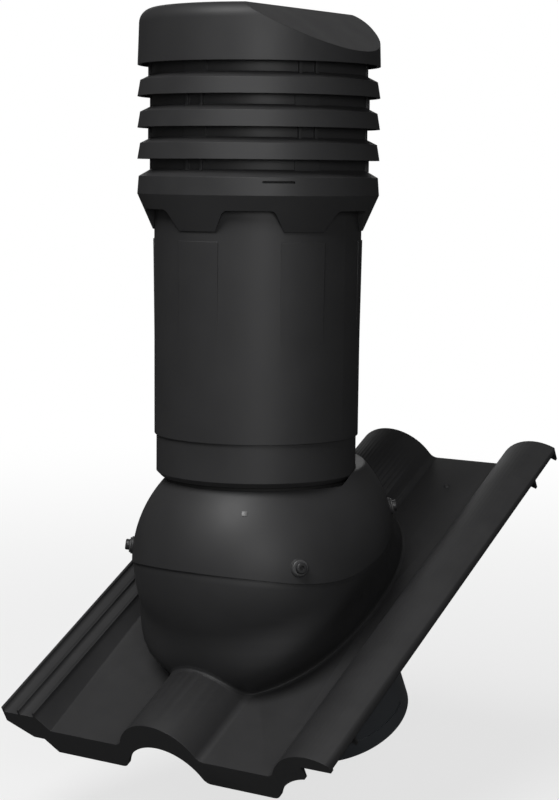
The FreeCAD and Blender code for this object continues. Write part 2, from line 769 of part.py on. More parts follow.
def tile_band(top_depth, bottom_depth, bottom_drop, start, wall):
    # The strip between two of the tile's lines, given a length up the slope
    upper_edges, upper_left, upper_right = tile_outline(top_depth, 0.0)
    lower_edges, lower_left, lower_right = tile_outline(bottom_depth, bottom_drop)
    loop = upper_edges + [Part.LineSegment(upper_right, lower_right).toShape()] + lower_edges
    loop.append(Part.LineSegment(lower_left, upper_left).toShape())
    face = Part.Face(Part.Wire(Part.__sortEdges__(loop)))
    band = face.extrude(Vector(0, wall, 0))
    band.translate(Vector(0, start, 0))
    return band


tile_left = -num.tile_width / 2
tile_right = num.tile_width / 2
tile_low = -num.tile_front
skin = tile_band(0.0, num.tile_wall, 0.0, tile_low, num.tile_length)
apron = tile_band(num.tile_wall / 2, 0.0, num.apron_depth, tile_low, num.apron_wall)
left_slope = num.lap_width + num.lap_slope_width
apron_wedge = Part.Face(Part.Wire(Part.makePolygon([
    Vector(tile_left - 1, 0, num.lap_level - num.apron_left_depth),
    Vector(tile_left + left_slope, 0, -num.apron_depth),
    Vector(tile_left + left_slope, 0, -3 * num.apron_depth),
    Vector(tile_left - 1, 0, -3 * num.apron_depth),
    Vector(tile_left - 1, 0, num.lap_level - num.apron_left_depth)]))).extrude(Vector(0, 2 * num.apron_wall, 0))
apron_wedge.translate(Vector(0, tile_low - num.apron_wall / 2, 0))
lip_bottom = num.roll_height - num.tile_wall - num.side_lip_depth
lap_block = Part.makeBox(num.side_lap + 1, 2 * num.apron_wall, 4 * num.apron_depth,
                         Vector(tile_right - num.side_lap, tile_low - num.apron_wall / 2,
                                lip_bottom - 4 * num.apron_depth))
apron = apron.cut(apron_wedge).cut(lap_block)
under_ribs = [
    tile_band(num.tile_wall / 2, 0.0, num.tile_wall + num.back_rib_depth,
              tile_low + num.tile_length - num.under_rib_wall, num.under_rib_wall),
    tile_band(num.tile_wall / 2, 0.0, num.tile_wall + num.back_rib_depth, -num.under_rib_front,
              num.under_rib_wall),
    tile_band(num.tile_wall / 2, 0.0, num.tile_wall + num.back_rib_depth, num.under_rib_back,
              num.under_rib_wall),
]
lap_ribs = []
for place in (0.0, (num.lap_width - num.lap_rib_width) / 2, num.lap_width - num.lap_rib_width):
    lap_ribs.append(Part.makeBox(num.lap_rib_width, num.tile_length, num.lap_rib_height + 1,
                                 Vector(tile_left + place, tile_low, num.lap_level - 1)))
marks = []
pan_middle = num.roll_first + num.roll_spacing / 2
nibs = []
for middle in (pan_middle - num.roll_spacing, pan_middle):
    nibs.append(Part.makeBox(num.nib_width, num.nib_wall, num.nib_depth,
                             Vector(middle - num.nib_width / 2,
                                    tile_low + num.tile_length - num.nib_inset - num.nib_wall,
                                    -num.tile_wall / 2 - num.nib_depth)))
    marks.append(Part.makeCone(num.nail_mark_radius, num.nail_mark_radius / 2, num.nail_mark_height + 0.5,
                               Vector(middle, num.nail_mark_row, -0.5)))
tile_sheet = skin.multiFuse([apron] + under_ribs + lap_ribs + nibs + marks).removeSplitter()
tile_sheet.rotate(Vector(0, 0, 0), Vector(1, 0, 0), num.roof_pitch)

# Lower dome, moulded with the tile, with its lip, floor, spigot socket and screw bosses
tilt = FreeCAD.Rotation(Vector(1, 0, 0), num.roof_pitch)
floor_top = -num.dome_base_depth + num.dome_floor_wall
above_floor = Part.makeBox(2 * num.tile_width, 2 * num.tile_length, 2 * num.tile_length,
                           Vector(-num.tile_width, -num.tile_length, floor_top))
above_floor.rotate(Vector(0, 0, 0), Vector(1, 0, 0), num.roof_pitch)
spigot_along = num.swivel_height * math.sin(pitch)
socket_bore = num.duct_bore + num.spigot_wall + num.fit_gap


def on_spigot(shape):
    # Moves a shape drawn about the spigot's axis, with height zero at the pans, to its place
    shape = shape.copy()
    shape.translate(Vector(0, spigot_along, 0))
    shape.rotate(Vector(0, 0, 0), Vector(1, 0, 0), num.roof_pitch)
    return shape


socket = on_spigot(tube(socket_bore, socket_bore + num.socket_wall, -num.socket_depth, floor_top))
socket_hole = on_spigot(Part.makeCylinder(
    socket_bore, 2 * num.socket_depth, Vector(0, 0, -num.socket_depth - num.socket_wall)))
boss_rods = Part.makeCompound(screw_rods(num.boss_radius, -num.dome_wall, num.boss_length))
bosses = boss_rods.common(lip_outside)
pilots = screw_rods(num.screw_radius + 0.05, 5.0, 30.0)
moulding = tile_sheet.fuse(lower_outside.cut(upper_region).fuse(lip_outside.cut(lip_region)))
moulding = moulding.cut(lower_inside.common(above_floor))
moulding = moulding.fuse([socket] + bosses.Solids)
shape_feature("base_tile", moulding.cut([socket_hole] + pilots), node=True)

# Duct spigot, perpendicular to the tile, with its flange, gasket and a part-round slot
spigot_bottom = -size.spigot_reach
spigot_radius = size.duct_bore + size.spigot_wall
flange_top = -size.socket_depth - size.duct_wall
spigot_turned = turned_body("spigot_tube", [
    (size.duct_bore, spigot_bottom),
    (spigot_radius, spigot_bottom),
    (spigot_radius, flange_top - size.flange_wall),
    (size.flange_radius, flange_top - size.flange_wall),
    (size.flange_radius, flange_top),
    (spigot_radius, flange_top),
    (spigot_radius, size.spigot_top),
    (size.duct_bore, size.spigot_top),
], node=False)
spigot_slot = shape_feature("spigot_slot", sector(
    num.duct_bore + num.spigot_wall - num.spigot_slot_depth, num.flange_radius,
    -num.spigot_reach + num.spigot_slot_inset - num.spigot_slot_width / 2,
    -num.spigot_reach + num.spigot_slot_inset + num.spigot_slot_width / 2, 40.0, 60.0))
spigot = cut("duct_spigot", spigot_turned, spigot_slot, node=True)
gasket = turned_body("spigot_gasket", [
    (spigot_radius + size.fit_gap, flange_top),
    (size.flange_radius - size.fit_gap, flange_top),
    (size.flange_radius - size.fit_gap, -size.socket_depth),
    (spigot_radius + size.fit_gap, -size.socket_depth),
])
for item in (spigot, gasket):
    item.Placement = FreeCAD.Placement(
        tilt.multVec(Vector(0, spigot_along, 0)), tilt)
    item.setExpression("Placement.Rotation.Angle", size.roof_pitch.text)
    item.setExpression("Placement.Base.y",
                       (size.swivel_height * sine(size.roof_pitch) * cosine(size.roof_pitch)).text)
    item.setExpression("Placement.Base.z",
                       (size.swivel_height * sine(size.roof_pitch) * sine(size.roof_pitch)).text)

doc.recompute()
for item in doc.Objects:
    if "Invalid" in item.State or "Error" in item.State:
        raise RuntimeError("%s is %s" % (item.Label, item.State))
for item in NODES:
    if item.Shape.isNull() or not item.Shape.isValid():
        raise RuntimeError("%s has no valid shape" % item.Label)

os.makedirs("parts", exist_ok=True)
for item in NODES:
    item.Shape.exportStep("parts/%s.step" % item.Label)
    print(item.Label, len(item.Shape.Solids), round(item.Shape.Volume / 1000.0, 2))
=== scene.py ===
import math

import bmesh
import bpy
from mathutils import Matrix, Vector


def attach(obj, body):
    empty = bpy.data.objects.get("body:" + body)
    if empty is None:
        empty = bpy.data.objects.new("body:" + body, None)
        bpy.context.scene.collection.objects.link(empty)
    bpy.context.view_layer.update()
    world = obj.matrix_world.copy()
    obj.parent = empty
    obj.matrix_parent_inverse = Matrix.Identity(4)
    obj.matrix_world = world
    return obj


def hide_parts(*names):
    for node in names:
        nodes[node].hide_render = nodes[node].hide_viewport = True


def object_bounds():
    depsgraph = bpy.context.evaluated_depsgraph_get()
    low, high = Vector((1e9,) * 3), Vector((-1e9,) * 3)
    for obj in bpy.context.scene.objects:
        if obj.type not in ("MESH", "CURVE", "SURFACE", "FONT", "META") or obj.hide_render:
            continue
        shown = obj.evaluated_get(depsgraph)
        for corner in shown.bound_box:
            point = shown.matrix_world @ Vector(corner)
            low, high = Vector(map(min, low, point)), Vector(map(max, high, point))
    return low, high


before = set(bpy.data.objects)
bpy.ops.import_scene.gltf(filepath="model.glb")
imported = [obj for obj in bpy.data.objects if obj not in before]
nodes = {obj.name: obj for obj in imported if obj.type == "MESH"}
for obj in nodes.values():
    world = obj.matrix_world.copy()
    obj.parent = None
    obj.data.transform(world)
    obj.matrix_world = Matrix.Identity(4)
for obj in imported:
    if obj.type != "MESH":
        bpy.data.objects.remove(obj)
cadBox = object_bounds()
print("frame loaded:", len(nodes), "nodes")


# Camera: the photograph's own view, from the front right and a little above the dome
camera = {
    "place": (0.971889, -1.410971, 0.395940),
    "azimuth": 33.912,          # degrees, 0 looks along +Y
    "down": 6.365,
    "roll": 0.562,              # clockwise
    "lens": 92.42,              # mm on a sensor that is 36 mm high
    "sensor": 36.0,
}


def makeCamera():
    turn = math.radians(camera["azimuth"])
    down = math.radians(camera["down"])
    roll = math.radians(camera["roll"])
    ahead = Vector((-math.sin(turn) * math.cos(down), math.cos(turn) * math.cos(down), -math.sin(down)))
    right = Vector((math.cos(turn), math.sin(turn), 0.0))
    up = right.cross(ahead)
    rolledRight = right * math.cos(roll) + up * math.sin(roll)
    rolledUp = up * math.cos(roll) - right * math.sin(roll)
    data = bpy.data.cameras.new("photoCamera")
    data.sensor_fit = "VERTICAL"
    data.sensor_height = camera["sensor"]
    data.lens = camera["lens"]
    data.clip_end = 200.0
    obj = bpy.data.objects.new("photoCamera", data)
    bpy.context.scene.collection.objects.link(obj)
    axes = Matrix((rolledRight, rolledUp, -ahead)).transposed()
    obj.matrix_world = Matrix.Translation(camera["place"]) @ axes.to_4x4()
    bpy.context.scene.camera = obj


makeCamera()
print("camera placed")


# Shader groups shared by the finishes
def newGroup(name, inputs, outputs):
    tree = bpy.data.node_groups.new(name, "ShaderNodeTree")
    for label, kind, value in inputs:
        socket = tree.interface.new_socket(label, in_out="INPUT", socket_type=kind)
        if value is not None:
            socket.default_value = value
    for label, kind in outputs:
        tree.interface.new_socket(label, in_out="OUTPUT", socket_type=kind)
    entry = tree.nodes.new("NodeGroupInput")
    leave = tree.nodes.new("NodeGroupOutput")
    return tree, entry, leave


def addNode(tree, kind, settings=None, **values):
    node = tree.nodes.new(kind)
    for key, value in (settings or {}).items():
        setattr(node, key, value)
    for key, value in values.items():
        node.inputs[key].default_value = value
    return node


def makeGrainGroup():
    # Eroded-mould texture: a fine grain on top of a faint waviness, as one height
    tree, entry, leave = newGroup(
        "mouldGrain",
        [("Position", "NodeSocketVector", None), ("Grain size", "NodeSocketFloat", 0.0004),
         ("Waviness", "NodeSocketFloat", 0.15)],
        [("Height", "NodeSocketFloat"), ("Mottle", "NodeSocketFloat")])
    link = tree.links.new
    inverse = addNode(tree, "ShaderNodeMath", {"operation": "DIVIDE"})
    inverse.inputs[0].default_value = 1.0
    link(entry.outputs["Grain size"], inverse.inputs[1])
    grain = addNode(tree, "ShaderNodeTexNoise", Detail=2.0, Roughness=0.55)
    link(entry.outputs["Position"], grain.inputs["Vector"])
    link(inverse.outputs[0], grain.inputs["Scale"])
    wave = addNode(tree, "ShaderNodeTexNoise", Scale=55.0, Detail=1.0)
    link(entry.outputs["Position"], wave.inputs["Vector"])
    share = addNode(tree, "ShaderNodeMath", {"operation": "MULTIPLY_ADD"})
    link(wave.outputs["Fac"], share.inputs[0])
    link(entry.outputs["Waviness"], share.inputs[1])
    link(grain.outputs["Fac"], share.inputs[2])
    link(share.outputs[0], leave.inputs["Height"])
    mottle = addNode(tree, "ShaderNodeTexNoise", Scale=28.0, Detail=3.0)
    link(entry.outputs["Position"], mottle.inputs["Vector"])
    link(mottle.outputs["Fac"], leave.inputs["Mottle"])
    return tree


def makePaintedTopLightGroup():
    # Painted top light: a pale bloom in soft clouds on faces that look up, standing in for the light from
    # above
    tree, entry, leave = newGroup(
        "paintedTopLightNodes",
        [("Position", "NodeSocketVector", None), ("Colour", "NodeSocketColor", None),
         ("Painted light colour", "NodeSocketColor", None), ("Amount", "NodeSocketFloat", 0.1)],
        [("Colour", "NodeSocketColor")])
    link = tree.links.new
    geometry = addNode(tree, "ShaderNodeNewGeometry")
    split = addNode(tree, "ShaderNodeSeparateXYZ")
    link(geometry.outputs["Normal"], split.inputs[0])
    facing = addNode(tree, "ShaderNodeMapRange")
    facing.inputs["From Min"].default_value = 0.1
    facing.inputs["From Max"].default_value = 1.0
    link(split.outputs["Z"], facing.inputs["Value"])
    clouds = addNode(tree, "ShaderNodeTexNoise", Scale=90.0, Detail=5.0, Roughness=0.65)
    link(entry.outputs["Position"], clouds.inputs["Vector"])
    both = addNode(tree, "ShaderNodeMath", {"operation": "MULTIPLY"})
    link(facing.outputs["Result"], both.inputs[0])
    link(clouds.outputs["Fac"], both.inputs[1])
    scaled = addNode(tree, "ShaderNodeMath", {"operation": "MULTIPLY"})
    link(both.outputs[0], scaled.inputs[0])
    link(entry.outputs["Amount"], scaled.inputs[1])
    mix = addNode(tree, "ShaderNodeMix", {"data_type": "RGBA"})
    link(scaled.outputs[0], mix.inputs[0])
    link(entry.outputs["Colour"], mix.inputs[6])
    link(entry.outputs["Painted light colour"], mix.inputs[7])
    link(mix.outputs[2], leave.inputs["Colour"])
    return tree


grainGroup = makeGrainGroup()
# the group that paints faces that look up paler, a painted top light
paintedTopLightGroup = makePaintedTopLightGroup()

# Finishes, one dictionary each. Colours are linear.
finishes = {
    # the last value of each finish: how strongly faces that look up are painted paler, a painted top light
    "blackPlastic": {"colour": (0.033, 0.033, 0.034), "change": 0.10, "roughness": 0.52, "uneven": 0.10,
                     "grain": 0.00035, "bump": 0.00002, "edge": 0.0007, "paintedTopLight": 0.03},
    "domePlastic": {"colour": (0.031, 0.031, 0.032), "change": 0.08, "roughness": 0.53, "uneven": 0.08,
                    "grain": 0.0003, "bump": 0.000015, "edge": 0.0007, "paintedTopLight": 0.03},
    "tilePlastic": {"colour": (0.026, 0.026, 0.027), "change": 0.12, "roughness": 0.55, "uneven": 0.12,
                    "grain": 0.0005, "bump": 0.00004, "edge": 0.0012, "paintedTopLight": 0.04},
    "greyPlastic": {"colour": (0.10, 0.10, 0.105), "change": 0.08, "roughness": 0.45, "uneven": 0.08,
                    "grain": 0.0004, "bump": 0.000015, "edge": 0.0004, "paintedTopLight": 0.02},
    "ductPlastic": {"colour": (0.060, 0.065, 0.072), "change": 0.12, "roughness": 0.42, "uneven": 0.12,
                    "grain": 0.0004, "bump": 0.00002, "edge": 0.0005, "paintedTopLight": 0.0},
    "foam": {"colour": (0.045, 0.045, 0.046), "change": 0.25, "roughness": 0.95, "uneven": 0.05,
             "grain": 0.0012, "bump": 0.0004, "edge": 0.0005, "paintedTopLight": 0.0},
    "sealRubber": {"colour": (0.012, 0.012, 0.012), "change": 0.15, "roughness": 0.75, "uneven": 0.1,
                   "grain": 0.0006, "bump": 0.00003, "edge": 0.0004, "paintedTopLight": 0.03},
    "palePlastic": {"colour": (0.13, 0.13, 0.13), "change": 0.10, "roughness": 0.35, "uneven": 0.05,
                    "grain": 0.0003, "bump": 0.00001, "edge": 0.0003, "paintedTopLight": 0.0},
    "washerPlastic": {"colour": (0.075, 0.075, 0.076), "change": 0.10, "roughness": 0.42, "uneven": 0.08,
                      "grain": 0.0003, "bump": 0.00001, "edge": 0.0002, "paintedTopLight": 0.0},
    "screwBlack": {"colour": (0.030, 0.030, 0.031), "change": 0.15, "roughness": 0.38, "uneven": 0.12,
                   "grain": 0.0003, "bump": 0.00003, "edge": 0.0003, "paintedTopLight": 0.0},
}


def makeFinish(name):
    values = finishes[name]
    material = bpy.data.materials.new(name)
    material.use_nodes = True
    tree = material.node_tree
    tree.nodes.clear()
    link = tree.links.new
    out = tree.nodes.new("ShaderNodeOutputMaterial")
    shader = addNode(tree, "ShaderNodeBsdfPrincipled")
    shader.inputs["Specular IOR Level"].default_value = 0.45
    link(shader.outputs[0], out.inputs["Surface"])
    place = tree.nodes.new("ShaderNodeTexCoord")
    grain = tree.nodes.new("ShaderNodeGroup")
    grain.node_tree = grainGroup
    grain.inputs["Grain size"].default_value = values["grain"]
    link(place.outputs["Object"], grain.inputs["Position"])
    # colour: a faint cloudiness in the pigment, then the painted top light on faces that look up
    ramp = addNode(tree, "ShaderNodeMix", {"data_type": "RGBA"})
    low = tuple(c * (1.0 - values["change"]) for c in values["colour"]) + (1.0,)
    high = tuple(c * (1.0 + values["change"]) for c in values["colour"]) + (1.0,)
    ramp.inputs[6].default_value = low
    ramp.inputs[7].default_value = high
    link(grain.outputs["Mottle"], ramp.inputs[0])
    # painted top light: faces that look up are painted towards a pale colour
    paintedTopLight = tree.nodes.new("ShaderNodeGroup")
    paintedTopLight.node_tree = paintedTopLightGroup
    paintedTopLight.inputs["Amount"].default_value = values["paintedTopLight"]
    paintedTopLight.inputs["Painted light colour"].default_value = (0.22, 0.21, 0.20, 1.0)
    link(place.outputs["Object"], paintedTopLight.inputs["Position"])
    link(ramp.outputs[2], paintedTopLight.inputs["Colour"])
    link(paintedTopLight.outputs["Colour"], shader.inputs["Base Color"])
    rough = addNode(tree, "ShaderNodeMapRange")
    rough.inputs["To Min"].default_value = values["roughness"] - values["uneven"]
    rough.inputs["To Max"].default_value = values["roughness"] + values["uneven"]
    link(grain.outputs["Mottle"], rough.inputs["Value"])
    link(rough.outputs["Result"], shader.inputs["Roughness"])
    # mould-rounded edges, then the grain
    edge = addNode(tree, "ShaderNodeBevel", {"samples": 4}, Radius=values["edge"])
    bump = addNode(tree, "ShaderNodeBump", Strength=1.0, Distance=values["bump"])
    link(grain.outputs["Height"], bump.inputs["Height"])
    link(edge.outputs["Normal"], bump.inputs["Normal"])
    link(bump.outputs["Normal"], shader.inputs["Normal"])
    return material


finishOf = {
    "cap": "blackPlastic", "louvre_ring_1": "blackPlastic", "louvre_ring_2": "blackPlastic",
    "louvre_ring_3": "blackPlastic", "head_base": "blackPlastic", "casing_pipe": "blackPlastic",
    "lock_collar": "blackPlastic", "dome_upper": "domePlastic", "base_tile": "tilePlastic",
    "inner_duct": "greyPlastic", "closure_ring": "greyPlastic", "duct_spigot": "ductPlastic",
    "insulation_sleeve": "foam", "collar_gasket": "sealRubber", "spigot_gasket": "sealRubber",
    "level_window": "palePlastic",
}
for number in range(1, 5):
    finishOf["dome_screw_%d" % number] = "screwBlack"
    finishOf["screw_washer_%d" % number] = "screwBlack"

materials = {name: makeFinish(name) for name in finishes}
for name, finish in finishOf.items():
    node = nodes[name]
    node.data.materials.clear()
    node.data.materials.append(materials[finish])
print("finishes given to", len(finishOf), "nodes")


# Dome: a ball drawn out up the slope, on a foot that spreads over the tile
dome = {
    "pitch": 29.0,               # degrees, the tile's own slope
    "ballRadius": 0.104,
    "ballHeight": 0.068,
    "drawnOut": 0.030,
    "topFront": 0.1396,          # height of the flat top in front and behind
    "topRear": 0.1545,
    "rimRound": 0.0022,          # how far the rim's rounding reaches to each side
    # height over the pans, middle up the slope, half width, front, rear, squareness in front and behind
    "base": (-0.008, 0.060, 0.0855, 0.131, 0.132, 2.2, 2.1),
    "foot": (0.0, 0.060, 0.0885, 0.134, 0.135, 2.2, 2.1),
    "belly": (0.028, 0.062, 0.096, 0.139, 0.118, 3.0, 1.9),
    "seamFront": 0.0749,
    "seamFall": 10.0,            # degrees, down to the rear
    "seamOverPans": 0.050,
    "seamBend": 0.208,
    "wall": 0.003,
    "lap": 0.0015,               # step of the lower shell under the seam
    "lip": 0.0033,
    "lowerInside": 0.0055,
    "lipHeight": 0.022,
    "floor": -0.0052,            # how far the wall goes down, from the pans
    "footRound": 0.003,
    "footRows": (1.0, 0.62, 0.32, 0.12, 0.0),    # heights of the foot's rounding, in its radius
    "footSink": 0.0001,          # how far the rounding's edge and underside go into the tile
    "footUnder": 0.0009,
    "footBack": 0.0012,          # how far the rounding goes into the wall
    "nudge": 0.00002,            # keeps two rows apart where the collar's room cuts the skin
    "collarRoom": 0.084,
    "seat": 0.139,
    "seatBore": 0.0684,
    "columns": 160,
}
tile = {"rollMiddle": -0.005, "crestRadius": 0.041, "crestHeight": 0.029, "rollFoot": 0.008}
mending = {
    "tileMerge": 0.000001,
    "turnedMerge": 0.000002,
    "shellMerge": 0.000004,
    "smoothTo": 35.0,            # degrees between faces that shade as one
    "cornerFrom": 25.0,          # degrees at which the tile's copy is parted into regions
    "wallOver": 0.036,           # a region of the tile's copy that reaches this high is the old dome wall
}

pitch = math.radians(dome["pitch"])
upSlope = Vector((0.0, math.cos(pitch), math.sin(pitch)))
offTile = Vector((0.0, -math.sin(pitch), math.cos(pitch)))
lowMiddle = Vector((0.0, 0.0, dome["ballHeight"]))
spine = upSlope * dome["drawnOut"]
knotCache = {}


def ovalPoint(section, turn, inset):
    above, middle, halfWidth, front, rear, squareFront, squareRear = section
    across = math.sin(turn)
    ahead = math.cos(turn)
    blend = 0.5 - 0.5 * max(-1.0, min(1.0, ahead / 0.35))
    power = 2.0 / (squareFront + (squareRear - squareFront) * blend)
    x = (halfWidth - inset) * math.copysign(abs(across) ** power, across)
    reach = (front if ahead > 0.0 else rear) - inset
    along = -reach * math.copysign(abs(ahead) ** power, ahead)
    return upSlope * (middle + along) + offTile * above + Vector((x, 0.0, 0.0))


def ballEnds(share):
    # foremost and hindmost point of a section, from the ball's widest plane to its flat top
    radius = dome["ballRadius"]
    highMiddle = lowMiddle + spine
    topFront = math.asin((dome["topFront"] - lowMiddle.z) / radius)
    topRear = math.asin((dome["topRear"] - highMiddle.z) / radius)
    front = (topFront + pitch) * share - pitch
    rear = (topRear - pitch) * share + pitch
    return (lowMiddle + Vector((0.0, -math.cos(front), math.sin(front))) * radius,
            highMiddle + Vector((0.0, math.cos(rear), math.sin(rear))) * radius)


def ballPoint(share, turn, inset):
    foremost, hindmost = ballEnds(share)
    middle = (foremost + hindmost) * 0.5
    way = Vector((math.sin(turn), 0.0, 0.0)) + (foremost - hindmost).normalized() * math.cos(turn)
    near = 0.0
    far = 2.0 * dome["ballRadius"]
    for step in range(28):
        half = (near + far) / 2.0
        spot = middle + way * half - lowMiddle
        along = max(0.0, min(1.0, spot.dot(spine) / spine.dot(spine)))
        if (spot - spine * along).length > dome["ballRadius"] - inset:
            far = half
        else:
            near = half
    return middle + way * near


def skinPoint(turn, level, inset):
    # level 0 base, 1 foot, 2 belly, 3 the ball's widest plane, 8 the rim, 9 the middle of the top
    if level >= 8.0:
        foremost, hindmost = ballEnds(1.0)
        return ballPoint(1.0, turn, inset).lerp((foremost + hindmost) * 0.5, level - 8.0)
    if level >= 3.0:
        return ballPoint((level - 3.0) / 5.0, turn, inset)
    key = (turn, inset)
    if key not in knotCache:
        knots = [ovalPoint(dome[name], turn, inset) for name in ("base", "foot", "belly")]
        knots += [ballPoint(0.0, turn, inset), ballPoint(0.2, turn, inset)]
        gaps = [(knots[i + 1] - knots[i]).length for i in range(4)]
        slopes = [(knots[i + 1] - knots[i]) / gaps[i] for i in range(4)]
        ways = [slopes[0]]
        for i in range(1, 4):
            ways.append((slopes[i] * gaps[i - 1] + slopes[i - 1] * gaps[i]) / (gaps[i] + gaps[i - 1]))
        knotCache[key] = (knots, gaps, ways)
    knots, gaps, ways = knotCache[key]
    index = min(2, int(level))
    s = level - index
    gap = gaps[index]
    return (knots[index] * (2 * s ** 3 - 3 * s ** 2 + 1) + ways[index] * gap * (s ** 3 - 2 * s ** 2 + s)
            + knots[index + 1] * (3 * s ** 2 - 2 * s ** 3) + ways[index + 1] * gap * (s ** 3 - s ** 2))


def roundedPoint(turn, level, inset):
    # the same skin with its rim rounded, and its flat top lowered by the inset
    rim = ballPoint(1.0, turn, inset)
    foremost, hindmost = ballEnds(1.0)
    lastStep = (rim - ballPoint(0.99, turn, inset)).length      # a twentieth of a level
    before = dome["rimRound"] / (lastStep * 20.0)
    after = dome["rimRound"] / (rim - (foremost + hindmost) * 0.5).length
    if 8.0 - before < level < 8.0 + after:
        s = (level - 8.0 + before) / (before + after)
        point = (skinPoint(turn, 8.0 - before, inset) * (1 - s) ** 2 + rim * 2 * s * (1 - s)
                 + skinPoint(turn, 8.0 + after, inset) * s * s)
    else:
        point = skinPoint(turn, level, inset)
    upright = Vector((1.0, 0.0, 0.0)).cross((hindmost - foremost).normalized())
    over = (point - foremost).dot(upright) + inset
    if inset > 0.0 and over > 0.0:
        point = point - upright * over
    return point


def aboveSeam(point):
    fall = math.radians(dome["seamFall"])
    front = dome["seamFront"] - math.tan(fall) * (point.y + dome["ballRadius"])
    rear = dome["seamOverPans"] / math.cos(pitch) + point.y * math.tan(pitch)
    level = dome["seamFront"] - math.tan(fall) * dome["ballRadius"]
    corner = (level - dome["seamOverPans"] / math.cos(pitch)) / (math.tan(pitch) + math.tan(fall))
    run = dome["seamBend"] * math.tan((pitch + fall) / 2.0)
    startY = corner - run * math.cos(fall)
    finishY = corner + run * math.cos(pitch)
    startZ = level - math.tan(fall) * startY
    if point.y < startY:
        return point.z - front
    if point.y > finishY:
        return point.z - rear
    centreY = startY + dome["seamBend"] * math.sin(fall)
    centreZ = startZ + dome["seamBend"] * math.cos(fall)
    return point.z - (centreZ - math.sqrt(dome["seamBend"] ** 2 - (point.y - centreY) ** 2))


def tileTop(x):
    # height of the tile's upper side over its pans
    centre = tile["crestHeight"] - tile["crestRadius"]
    both = tile["crestRadius"] + tile["rollFoot"]
    rise = tile["rollFoot"] - centre
    reach = math.sqrt(both ** 2 - rise ** 2)
    touch = tile["crestRadius"] * reach / both
    away = abs(x - tile["rollMiddle"])
    if away < touch:
        return centre + math.sqrt(tile["crestRadius"] ** 2 - away ** 2)
    if away < reach:
        return tile["rollFoot"] - math.sqrt(tile["rollFoot"] ** 2 - (reach - away) ** 2)
    return 0.0


def overTile(point):
    return point.dot(offTile) - tileTop(point.x)


def findLevel(passed, low, high):
    # the level at which a column first passes a mark
    for step in range(22):
        half = (low + high) / 2.0
        if passed(half):
            high = half
        else:
            low = half
    return high


def turns():
    return [2.0 * math.pi * (index + 0.5) / dome["columns"] for index in range(dome["columns"])]


def ringsToSkin(form, columns):
    # one circle a row, each moved to its place and bridged to the next, the last to the first
    rows = len(columns[0])
    loops = []
    for row in range(rows):
        made = bmesh.ops.create_circle(form, radius=0.1, segments=len(columns))["verts"]
        for vert, column in zip(made, columns):
            vert.co = column[row]
        mine = set(made)
        loops.append([edge for edge in form.edges if edge.verts[0] in mine and edge.verts[1] in mine])
    for one, other in zip(loops, loops[1:] + loops[:1]):
        bmesh.ops.bridge_loops(form, edges=one + other)


def spread(low, high, count):
    return [low + (high - low) * index / (count - 1) for index in range(count)]


def upperColumn(turn):
    room = dome["collarRoom"]
    seat = dome["seat"]
    column = []
    seam = findLevel(lambda s: aboveSeam(roundedPoint(turn, s, 0.0)) > 0.0, 1.0, 7.9)

    def inRoom(level, inset):
        point = roundedPoint(turn, level, inset)
        return point.z > seat - inset and math.hypot(point.x, point.y) < room + inset

    end = findLevel(lambda s: inRoom(s, 0.0), seam, 9.0)
    first = min(7.9, seam + 0.88 * (end - seam))
    second = min(8.1, seam + 0.97 * (end - seam))
    levels = spread(seam, first, 16) + spread(first, second, 10)[1:] + spread(second, end, 4)[1:]
    column += [roundedPoint(turn, level, 0.0) for level in levels]
    last = column[-1]
    reach = math.hypot(last.x, last.y)
    way = Vector((last.x / reach, last.y / reach, 0.0))
    up = Vector((0.0, 0.0, 1.0))
    column.append(way * (reach - dome["nudge"]) + up * seat)
    column.append(way * dome["seatBore"] + up * seat)
    column.append(way * dome["seatBore"] + up * (seat - dome["wall"]))
    wall = dome["wall"]
    inner = findLevel(lambda s: inRoom(s, wall), 3.0, 9.0)
    foot = findLevel(lambda s: aboveSeam(roundedPoint(turn, s, wall)) > 0.0, 1.0, 7.9)
    under = roundedPoint(turn, inner, wall)
    reach = math.hypot(under.x, under.y)
    way = Vector((under.x / reach, under.y / reach, 0.0))
    column.append(way * (reach - dome["nudge"]) + up * (seat - wall))
    column += [roundedPoint(turn, level, wall) for level in spread(inner, foot, 14)]
    return column


def lowerColumn(turn):
    lap = dome["lap"]
    inside = dome["lowerInside"]
    seam = findLevel(lambda s: aboveSeam(skinPoint(turn, s, lap)) > 0.0, 1.0, 7.9)
    root = findLevel(lambda s: skinPoint(turn, s, lap).dot(offTile) > dome["floor"], 0.0, 3.0)
    column = [skinPoint(turn, level, lap) for level in spread(root, seam, 18)]
    lipTop = findLevel(lambda s: aboveSeam(skinPoint(turn, s, dome["lip"])) > dome["lipHeight"], 1.0, 7.9)
    column += [skinPoint(turn, level, dome["lip"]) for level in spread(seam, lipTop, 4)]
    column += [skinPoint(turn, level, inside) for level in spread(lipTop, root, 18)]
    return column


def filletColumn(turn):
    # the soft corner where the wall meets the tile
    lap = dome["lap"]
    size = dome["footRound"]
    column = []
    for share in dome["footRows"]:
        height = size * share
        level = findLevel(lambda s: overTile(skinPoint(turn, s, lap)) > height, 0.0, 6.0)
        point = skinPoint(turn, level, lap)
        outward = point - skinPoint(turn, level, lap + 0.002)
        outward -= offTile * outward.dot(offTile)
        point = point + outward.normalized() * (size - math.sqrt(max(0.0, size ** 2 - (size - height) ** 2)))
        column.append(point + offTile * (height - overTile(point) - dome["footSink"]))
    column.append(column[-1] - offTile * (dome["footUnder"] - dome["footSink"]))
    level = findLevel(lambda s: overTile(skinPoint(turn, s, lap)) > 0.0, 0.0, 6.0)
    back = skinPoint(turn, level, lap + dome["footBack"])
    column.append(back - offTile * dome["footUnder"])
    column.append(back + offTile * size)
    return column


def faceOutwards(form):
    bmesh.ops.remove_doubles(form, verts=form.verts, dist=mending["shellMerge"])
    bmesh.ops.recalc_face_normals(form, faces=form.faces)


